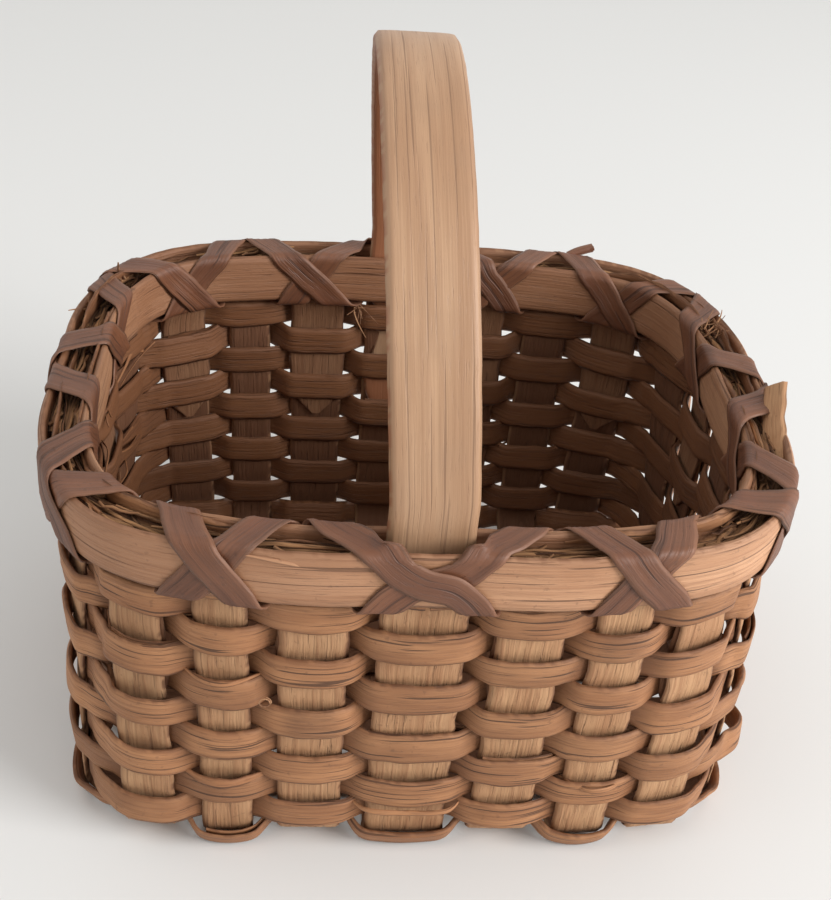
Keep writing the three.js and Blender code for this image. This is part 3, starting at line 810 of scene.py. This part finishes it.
def rimKeys(insideFace, outsideFace, start, outward, seed):
    wallLong = 4 * (longHalf + shortHalf)
    overlap = rim.scarfLong / wallLong * rounds
    thick = outsideFace - insideFace
    steps = rounds * rim.perUpright
    for step in range(steps + 1):
        place = start + (rounds + overlap) * step / steps
        scarf = min((place - start) / overlap, (start + rounds + overlap - place) / overlap, 1)
        leaf = blend(rim.scarfTip, thick, scarf)
        opening = place - start < overlap
        near = insideFace + leaf / 2 if opening else outsideFace - leaf / 2
        centre = near if scarf < 1 else (insideFace + outsideFace) / 2
        centre += pinchAt(place) + rim.sway * ripple(place * rim.swayScale, seed, 0)
        point, out = movedOut(ringFrame(place, rimLevel), centre)
        point[2] += rim.sway * ripple(place * rim.riseScale, seed, rim.riseSeed)
        if outward > 0:
            # painted shade: the outer rim grows darker towards the left, away from the key lamp
            ageAndShade = rim.leftAge * min((rim.leftFrom - point[0]) / rim.leftOver, 1)
        else:
            # painted shade: the inner rim grows darker towards the back of the basket's inside
            ageAndShade = rim.innerAge * (1 + point[1] / shortHalf) / 2  # darker towards the back
        yield point, out * outward, rimTall, leaf, max(ageAndShade, 0)


for name, near, far, outward, number in (
    ("outer", rim.outerFace, rimOutside, 1, 1),
    ("inner", rimInside, rim.innerFace, -1, 2),
):
    keys = rimKeys(near, far, rim[f"{name}Scarf"], outward, rim.seedStep * number)
    piece = stripPiece(
        f"{name}RimBand", "rim_splint", [keys], seed=40 + number, furrow=rim.furrow, ragged=rim.ragged,
    )
    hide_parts(f"{name}_rim")
print("stage: rims made")


# Handle
handle = Settings(
    wide=12.2, tailWide=10.4, pointWide=4, aboveRimFoot=0.2, rise=52.3, lean=-3.5,
    segments=31,
)


def handleKeys():
    thick, tailThick = wall.handleThick, wall.handleTailThick
    faceAt = -(stakeHalf + wall.clearance)
    lowest = rowLevels[wall.handleRows[-1]] - weaver.wide / 2
    spots = [
        (lowest, tailThick, handle.pointWide),
        (lowest + weaver.wide, tailThick, handle.tailWide),
        (rowLevels[1] + weaver.wide / 2, tailThick, handle.tailWide),
        (rimLow + handle.aboveRimFoot, thick, handle.wide),
        (rimHigh, thick, handle.wide),
    ]
    front = []
    for height, deep, wide in spots:
        front.append((*movedOut(uprightFrame(middle, height), faceAt - deep / 2), wide, deep))
    halfSpan = abs(front[-1][0][1])
    arch = []
    for step in range(1, handle.segments):
        turn = step / handle.segments * pi
        x, y = handle.lean * sin(turn), -halfSpan * cos(turn)
        out = unit(np.array([0.0, -cos(turn) / halfSpan, sin(turn) / handle.rise]))
        arch.append((np.array([x, y, rimHigh + handle.rise * sin(turn)]), out, handle.wide, thick))
    flip = np.array([1, -1, 1])
    back = [(point * flip, out * flip, wide, deep) for point, out, wide, deep in reversed(front)]
    return front + arch + back


hoop = stripPiece("handleHoop", "handle_splint", [handleKeys()], seed=51, furrow=0.02, ragged=0.01)
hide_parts("handle_hoop")
print("stage: handle made")


# Filler between the rims: a loose bundle of twisted grass with many torn ends
filler = Settings(drop=3.5, dropSway=0.9, dropScale=0.7, dropSeed=2, besideHandle=0.5)
rope = Settings(
    count=6, thick=1.5, round=0.7, steps=100, spread=0.75, lift=0.6, pitch=0.45, dirt=0.3,
    wander=0.5, wanderScale=1.1, wanderSeed=7,
)
shred = Settings(
    count=190, short=3, long=22, pitch=14, steps=5, wide=1.1, narrow=0.3, taper=0.5, thick=0.28,
    spread=0.8, lean=0.9, curl=0.3, rise=2.0, lift=0.35,
)
fillerOffset = (rim.innerFace + rim.outerFace) / 2
fillerHalf = (rim.outerFace - rim.innerFace) / 2


def fillerLevel(place):
    drop = filler.drop - filler.dropSway * ripple(place * filler.dropScale, 0, filler.dropSeed)
    return rimHigh - drop


def ropeKeys(start, end, number):
    for share in shares(rope.steps):
        place = blend(start, end, share)
        turn = place * rope.pitch * pi + number * 2 * pi / rope.count
        wander = rope.wander * ripple(place * rope.wanderScale, number, rope.wanderSeed)
        aside = rope.spread * fillerHalf * cos(turn) + wander
        point, out = movedOut(ringFrame(place, rimLevel), fillerOffset + aside)
        point[2] = fillerLevel(place) + rope.lift * sin(turn)
        face = out * cos(turn) + upward * sin(turn)
        yield point, face, rope.thick, rope.thick * rope.round, 0.0, rope.dirt


def shredKeys(start, end, side, number):
    place = blend(start, end, chance(side, number, "place"))
    length = blend(shred.short, shred.long, chance(side, number, "long") ** 2)
    offset = fillerOffset + shred.spread * fillerHalf * sway(side, number, "offset")
    lean = shred.lean * sway(side, number, "lean")
    rise = shred.rise * chance(side, number, "rise")
    wide = shred.wide * blend(shred.narrow, 1, chance(side, number, "wide"))
    for step, share in enumerate(shares(shred.steps)):
        share -= 0.5
        here = limit(place + length / shred.pitch * share, start, end)
        curl = shred.curl * sway(side, number, step, "curl")
        point, out = movedOut(ringFrame(here, rimLevel), offset + lean * share * 2 + curl)
        point[2] = fillerLevel(here) + rise + shred.lift * sway(side, number, step, "lift")
        face = unit(upward + out * sway(side, number, "turn"))
        yield point, face, wide * (1 - shred.taper * abs(share)), shred.thick


for side, first in (("right", middle), ("left", middle + rounds / 2)):
    start = first + filler.besideHandle
    end = first + rounds / 2 - filler.besideHandle
    twisted = [ropeKeys(start, end, number) for number in range(rope.count)]
    ropes = stripPiece(
        f"{side}FillerRopes", "rim_filler", twisted, seed=60, furrow=0.16, ragged=0.25, spacing=1.0,
    )
    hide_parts(f"rim_filler_{side}")
    torn = [shredKeys(start, end, side, number) for number in range(shred.count)]
    stripPiece(f"{side}FillerShreds", "rim_filler", torn, seed=200, arch=0.1, ragged=0.3, spacing=1.2)
print("stage: filler made")


# Torn strips that stand between the rims at the short ends, placed in uprights
sliverForm = Settings(
    steps=14, tip=0.15, sharpness=4, dirt=0.2,
    wander=0.3, wanderScale=1.7, wanderSeed=3, tilt=0.4, tiltSeed=8,
)
sliverParts = listed(
    "start end offset rise tall thick",
    (19.3, 22.9, -2.55, 0.5, 4.2, 0.55),
    (20.6, 23.7, 1.0, 0.4, 3.6, 0.5),
    (18.6, 20.4, 0.9, 0.9, 3.0, 0.4),
    (22.9, 25.3, -2.5, 0.4, 3.4, 0.6),
    (6.9, 9.4, -2.55, 0.5, 4.0, 0.6),
    (8.4, 11.6, 0.95, 0.3, 3.4, 0.5),
    (10.2, 12.4, -1.2, 1.0, 2.6, 0.45),
    (4.2, 6.5, -2.5, 0.3, 3.0, 0.55),
)


def sliverKeys(part, number):
    tip, sharpness = sliverForm.tip, sliverForm.sharpness
    for share in shares(sliverForm.steps):
        taper = min(1, sharpness * share + tip, sharpness * (1 - share) + tip)
        place = blend(part.start, part.end, share)
        wander = sliverForm.wander * ripple(place * sliverForm.wanderScale, number, sliverForm.wanderSeed)
        point, out = movedOut(ringFrame(place, rimLevel), part.offset + wander)
        point[2] = rimHigh + part.rise * taper - part.tall / 2
        face = unit(out + upward * sliverForm.tilt * ripple(place, number, sliverForm.tiltSeed))
        yield point, face, part.tall * taper, part.thick, 0.0, sliverForm.dirt


slivers = [sliverKeys(part, number) for number, part in enumerate(sliverParts)]
stripPiece("rimSlivers", "weaver_splint", slivers, seed=400, furrow=0.06, ragged=0.3)
print("stage: slivers made")


# Lashing: a strand is laid out on the unrolled skin of the rims, then wrapped round them
lashing = Settings(
    wide=5.1, thick=0.5, touch=0.06, cross=0.55, crossReach=2.6, crossShares=(0.5, 1.5),
    curl=-0.16, wideSway=0.14, wideSeed=5, holeWide=3.4, holeFrom=1.5, holeOver=4,
    endsWider=1.16, endsFrom=30, endsOver=20,
    reach=(0.7, 1.05), handledReach=(0.8, 1.36),  # uprights passed at the outer and the inner edge
    firstStop=0.6, corner=1.1, cornerSteps=6,
    standPart=3, standRoom=2.0, standFade=1.8, standDeep=1.15, standStart=0.7, standFree=1.6,
    standMore=0.9, keysPerWrap=22, tail=1.2, ringSteps=24,
)
slotLevel = (rowLevels[0] + rowLevels[1]) / 2


def rimSkin():  # once round both rims from the slot below them: offset, height and the way it faces
    over = lashing.touch + lashing.thick / 2
    corner = lashing.corner
    outside, inside, top = rimOutside + over, rimInside - over, rimHigh + over
    rows = [(0.0, slotLevel, -pi / 2)]
    for number, (offset, height) in enumerate([
        (outside - corner, slotLevel + corner), (outside - corner, top - corner),
        (inside + corner, top - corner), (inside + corner, slotLevel + corner),
    ]):
        for step in range(lashing.cornerSteps + 1):
            turn = (number - 1 + step / lashing.cornerSteps) * pi / 2
            rows.append((offset + corner * cos(turn), height + corner * sin(turn), turn))
    rows.append((0.0, slotLevel, pi * 1.5))
    table = np.array(rows)
    return table, reachOf(spansOf(table[:, :2]))


skin, skinReach = rimSkin()
skinRound = skinReach[-1]
cornerStarts = [1 + number * (lashing.cornerSteps + 1) for number in range(4)]
turnStarts = [skinReach[first] for first in cornerStarts]
turnLong = lashing.corner * pi / 2
ringPlaces = np.linspace(0, rounds, rounds * lashing.ringSteps + 1)
ringRows = np.array([np.concatenate(ringFrame(place, rimLevel)[:2]) for place in ringPlaces])
ringReach = reachOf(spansOf(ringRows[:, :3]))
ringRound = ringReach[-1]
handleReaches = [np.interp(middle + side, ringPlaces, ringReach) for side in (0, rounds / 2)]


def reachAt(place):
    turns, rest = divmod(place, rounds)
    return turns * ringRound + np.interp(rest, ringPlaces, ringReach)


def wrapped(spot):
    around, across, lift = spot
    across %= skinRound
    offset, height, turn = [np.interp(across, skinReach, skin[:, column]) for column in range(3)]
    aside = min(abs((around - reach + ringRound / 2) % ringRound - ringRound / 2) for reach in handleReaches)
    past = across - turnStarts[1]
    if 0 < past < skinRound / lashing.standPart:  # in front of the handle the strand stands up against it
        stand = limit((handle.wide / 2 + lashing.standRoom - aside) / lashing.standFade)
        stand = stand * stand * (3 - 2 * stand)
        leant = skin[cornerStarts[1]][0] - max(past - lashing.standStart, 0)
        offset = blend(offset, max(leant, rimOutside - lashing.standDeep), stand)
        free, more = lashing.standFree, lashing.standMore
        rise = min(past, free) + more * tanh(max(past - free, 0) / more)
        height = blend(height, rimHigh - lashing.corner + rise, stand)
        turn = blend(turn, 0, stand)
    row = [np.interp(around % ringRound, ringReach, ringRows[:, column]) for column in range(6)]
    out = unit(np.array([row[3], row[4], 0.0]))
    place = np.interp(around % ringRound, ringReach, ringPlaces)
    point = np.array([row[0], row[1], 0.0]) + out * (offset + pinchAt(place) + lift * cos(turn))
    point[2] = height + lift * sin(turn)
    return point


def lashingKey(place, across, raised, seed):  # narrow in the slots, wider on top and round the short ends
    fromSlot = min(across % skinRound, skinRound - across % skinRound)
    fromMiddle = abs(np.interp(place % rounds, ringPlaces, ringRows[:, 0]))
    wide = blend(lashing.holeWide, lashing.wide, limit((fromSlot - lashing.holeFrom) / lashing.holeOver))
    wide *= 1 + lashing.wideSway * ripple(place, seed, lashing.wideSeed)
    wide *= blend(1, lashing.endsWider, limit((fromMiddle - lashing.endsFrom) / lashing.endsOver))
    return np.array([reachAt(place), across, raised]), upward, wide, lashing.thick


def lashingKeys(firstGap, heading, lift, seed):
    slotStop = lashing.firstStop * turnStarts[0]
    stops = [slotStop, turnStarts[1] + turnLong / 2, turnStarts[2] + turnLong / 2, skinRound - slotStop]
    for wrap in range(rounds // 2):
        hole = firstGap + heading * 2 * wrap
        handled = uprights[floor(hole + heading / 2) % rounds].handled
        passed = [0, *(lashing.handledReach if handled else lashing.reach), 2]
        crossings = [np.interp(share, passed, stops) for share in lashing.crossShares]
        for step in range(lashing.keysPerWrap):
            across = skinRound * step / lashing.keysPerWrap
            bumps = [exp(-((across - crossing) / lashing.crossReach) ** 2) for crossing in crossings]
            place = hole + heading * np.interp(across, stops, passed)
            yield lashingKey(place, wrap * skinRound + across, lift * sum(bumps), seed)
    yield lashingKey(firstGap + heading * rounds, rounds / 2 * skinRound + lashing.tail, 0, seed)


for name, heading, lift, number in (("Under", 1, 0, 1), ("Over", -1, lashing.cross, 2)):
    keys = lashingKeys(middle - 0.5 * heading, heading, lift, number)
    strand = stripPiece(
        f"lashing{name}", "lashing_reed", [keys],
        seed=70 + number, arch=lashing.curl, furrow=0.04, spacing=0.6, shape=wrapped,
    )
    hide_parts(f"rim_lashing_{name.lower()}")
print("stage: lashing made")


# Loose ends: points in millimetres, the way the flat side faces, width and thickness
looseEnds = listed(
    "name slot wide thick face blunt points",
    ("rimStripEnd", "stake_splint", 4.4, 1.0, (-0.75, -0.15, 0.65), True,
     [(54.4, -20, 58.2), (55.2, -14, 61.0), (56.2, -9, 62.8), (57.3, -4.5, 64.9)]),
    ("twigStub", "lashing_reed", 1.7, 1.4, (0.0, -1.0, 0.3), True,
     [(31.4, 46.6, 61.8), (33.2, 47.0, 62.6), (34.8, 47.2, 63.1), (36.0, 47.4, 63.4)]),
    ("rimSplit", "rim_splint", 0.7, 0.3, (0.0, -1.0, 0.3), False,
     [(-25.5, -47.3, 61.7), (-22, -47.7, 61.3), (-18.5, -47.8, 60.6), (-14.0, -47.4, 59.5)]),
    ("twigFork", "lashing_reed", 0.9, 0.7, (0.0, -1.0, 0.3), True,
     [(33.4, 47.2, 62.8), (34.8, 47.0, 63.0), (36.2, 46.8, 63.6)]),
)
looseTip = 0.4
looseSharpness = 2.4


def looseKeys(part):
    for number, point in enumerate(part.points):
        share = number / (len(part.points) - 1)
        taper = 1.0 if part.blunt else min(1, looseTip + looseSharpness * min(share, 1 - share))
        yield point, unit(np.array(part.face)), part.wide * taper, part.thick


for number, part in enumerate(looseEnds):
    keys = looseKeys(part)
    stripPiece(part.name, part.slot, [keys], seed=500 + number, furrow=0.08, ragged=0.12, spacing=0.5)


# Tufts of torn fibre, and one fibre that has curled up
tufts = listed(
    "name at lean count long spread thick",
    ("rightRim", (52.6, 18.8, 60.6), (0.2, -0.3, 1.0), 34, 2.6, 4.4, 0.22),
    ("leftRimBack", (-50.6, 31.0, 61.2), (-0.6, -0.4, 0.1), 9, 2.2, 1.8, 0.5),
    ("leftRim", (-54.6, 19.4, 60.8), (-0.6, -0.3, 0.5), 6, 3.4, 1.2, 0.3),
    ("backInside", (-8.4, 40.4, 52.2), (0.3, -0.7, -0.5), 9, 5.0, 1.4, 0.2),
    ("rightInside", (49.2, -13.0, 42.0), (-0.5, -0.4, -0.8), 9, 7.0, 2.2, 0.3),
)
tuftForm = Settings(leanSway=0.7, bend=0.5, shortest=0.4, rootWide=1.6, thinning=0.6, nudge=0.01)
fibreCurl = Settings(
    middle=(-22.4, -46.6, 34.3), radius=0.75, thick=0.2,
    steps=14, extraSteps=4, extraRadius=1.25, drift=0.12,
)


def tuftKeys(tuft, number):
    def swayed(*more):
        return np.array([sway(tuft.name, number, axis, *more) for axis in "xyz"])

    start = np.array(tuft.at) + tuft.spread / 2 * swayed()
    heading = np.array(tuft.lean) + tuftForm.leanSway * swayed("way")
    bend = tuftForm.bend * swayed("bend")
    length = tuft.long * blend(tuftForm.shortest, 1, chance(tuft.name, number, "long"))
    face = unit(np.cross(heading, bend + tuftForm.nudge))
    for share in quarters:
        point = start + length * (share * unit(heading) + share**2 * bend)
        wide = tuft.thick * (tuftForm.rootWide - share)
        yield point, face, wide, tuft.thick * (1 - tuftForm.thinning * share)


def fibreCurlKeys():
    for step in range(fibreCurl.steps + fibreCurl.extraSteps):
        turns = step / fibreCurl.steps
        radius = fibreCurl.radius * (1 if turns < 1 else fibreCurl.extraRadius)
        angle = turns * 2 * pi
        spoke = np.array([cos(angle), fibreCurl.drift * turns, sin(angle)])
        centre = np.array(fibreCurl.middle) + radius * spoke
        yield centre, unit(spoke), fibreCurl.thick, fibreCurl.thick


body = newBody()
for tuft in tufts:
    for number in range(tuft.count):
        addStrip(body, tuftKeys(tuft, number), 600 + number, furrow=0, ragged=0, spacing=0.5)
addStrip(body, fibreCurlKeys(), 690, furrow=0, ragged=0, spacing=0.3)
finishPiece(body, "tornFibres", "stake_splint")


# Thin splits that have lifted from the weavers, placed in uprights, with their rise over the row's middle
splitForm = Settings(steps=16, thick=0.3, tip=0.35, sunk=0.6, tilt=0.25)
splits = listed(
    "row start end rise wide lift",
    (8, 0.4, 1.6, 2.7, 1.8, 0.35),
    (9, 2.5, 3.5, 1.9, 1.0, 0.5),
    (8, 4.6, 5.5, 2.0, 1.1, 0.4),
    (3, 0.5, 1.5, -2.2, 1.0, 0.35),
    (6, 6.6, 7.5, 1.6, 1.2, 0.5),
    (2, 8.5, 9.6, 1.8, 1.0, 0.4),
    (7, 12.5, 13.5, 2.2, 1.1, 0.4),
    (5, 16.5, 17.5, -1.8, 1.0, 0.4),
    (4, 21.4, 22.6, 1.9, 1.2, 0.4),
)


def splitKeys(split):
    top = weaverFace + weaver.thick + weaver.bow["front"] + split.lift
    for share in shares(splitForm.steps):
        belly = sin(share * pi)
        place = blend(split.start, split.end, share)
        placed = ringFrame(place, rowLevels[split.row] + split.rise)
        point, out = movedOut(placed, belly * top - (1 - belly) * splitForm.sunk)
        face = unit(out + upward * splitForm.tilt)
        yield point, face, split.wide * blend(splitForm.tip, 1, belly), splitForm.thick


lifted = [splitKeys(split) for split in splits]
stripPiece("liftedSplits", "weaver_splint", lifted, seed=700, furrow=0.04, ragged=0.3)


# Splinters that stand off the inside of the left end
splinters = Settings(
    count=34, first=18.8, last=23.6, lowestRow=8, shortest=0.35, longest=1.1,
    wide=1.3, narrow=0.4, tip=0.3, thick=0.25, lift=2.2, sunk=0.2,
    slope=5.0, tilt=0.3, age=0.6, steps=8,
)


def splinterKeys(number):
    place = blend(splinters.first, splinters.last, chance(number, "place"))
    reach = blend(splinters.shortest, splinters.longest, chance(number, "reach"))
    level = blend(rowLevels[splinters.lowestRow], rowLevels[1], chance(number, "level"))
    slope = splinters.slope * sway(number, "slope")
    wide = splinters.wide * blend(splinters.narrow, 1, chance(number, "wide"))
    lift = splinters.lift * chance(number, "lift")
    innerFace = weaverFace + weaver.thick + weaver.innerBow
    for share in shares(splinters.steps):
        placed = ringFrame(place + reach * (share - 0.5), level + slope * (share - 0.5))
        free = share**2 if number % 2 else sin(share * pi)
        point, out = movedOut(placed, -(innerFace - splinters.sunk + lift * free))
        face = unit(upward * splinters.tilt - out)
        # painted shade with age darkens the splinters on the inside of the left end
        yield point, face, wide * blend(1, splinters.tip, share), splinters.thick, splinters.age


standing = [splinterKeys(number) for number in range(splinters.count)]
stripPiece("leftEndSplinters", "weaver_splint", standing, seed=800, arch=0.08, ragged=0.3)
print("stage: loose ends made")


# Floor, light and background
def makeFloor():
    body = bmesh.new()
    bmesh.ops.create_grid(body, x_segments=1, y_segments=1, size=studio.floorHalf * mm)
    ground = meshObject("floor", body)
    material, shader = newMaterial("floorPaint")
    shader.inputs["Base Color"].default_value = (*studio.floorTone, 1)
    shader.inputs["Roughness"].default_value = studio.floorRough
    ground.data.materials.append(material)


def makeSky():  # white to the camera, dimmer as a light
    world = bpy.data.worlds.new("studioSky")
    world.use_nodes = True
    background = world.node_tree.nodes["Background"]
    background.inputs["Color"].default_value = (*studio.skyTone, 1)
    cameraRay = Wire(world.node_tree).node("ShaderNodeLightPath", {}, {}, "Is Camera Ray")
    seen = cameraRay
    for ray in ("Is Glossy Ray", "Is Transmission Ray"):
        seen = seen.maths("MAXIMUM", seen, cameraRay.beside(ray))
    strength = seen * (1 - studio.skyStrength) + studio.skyStrength
    world.node_tree.links.new(strength.socket, background.inputs["Strength"])
    bpy.context.scene.world = world


makeFloor()
makeSky()
addLamp("key")
addLamp("fill")
placeCamera()
bpy.context.scene.view_settings.view_transform = "Standard"
print("stage: studio made")
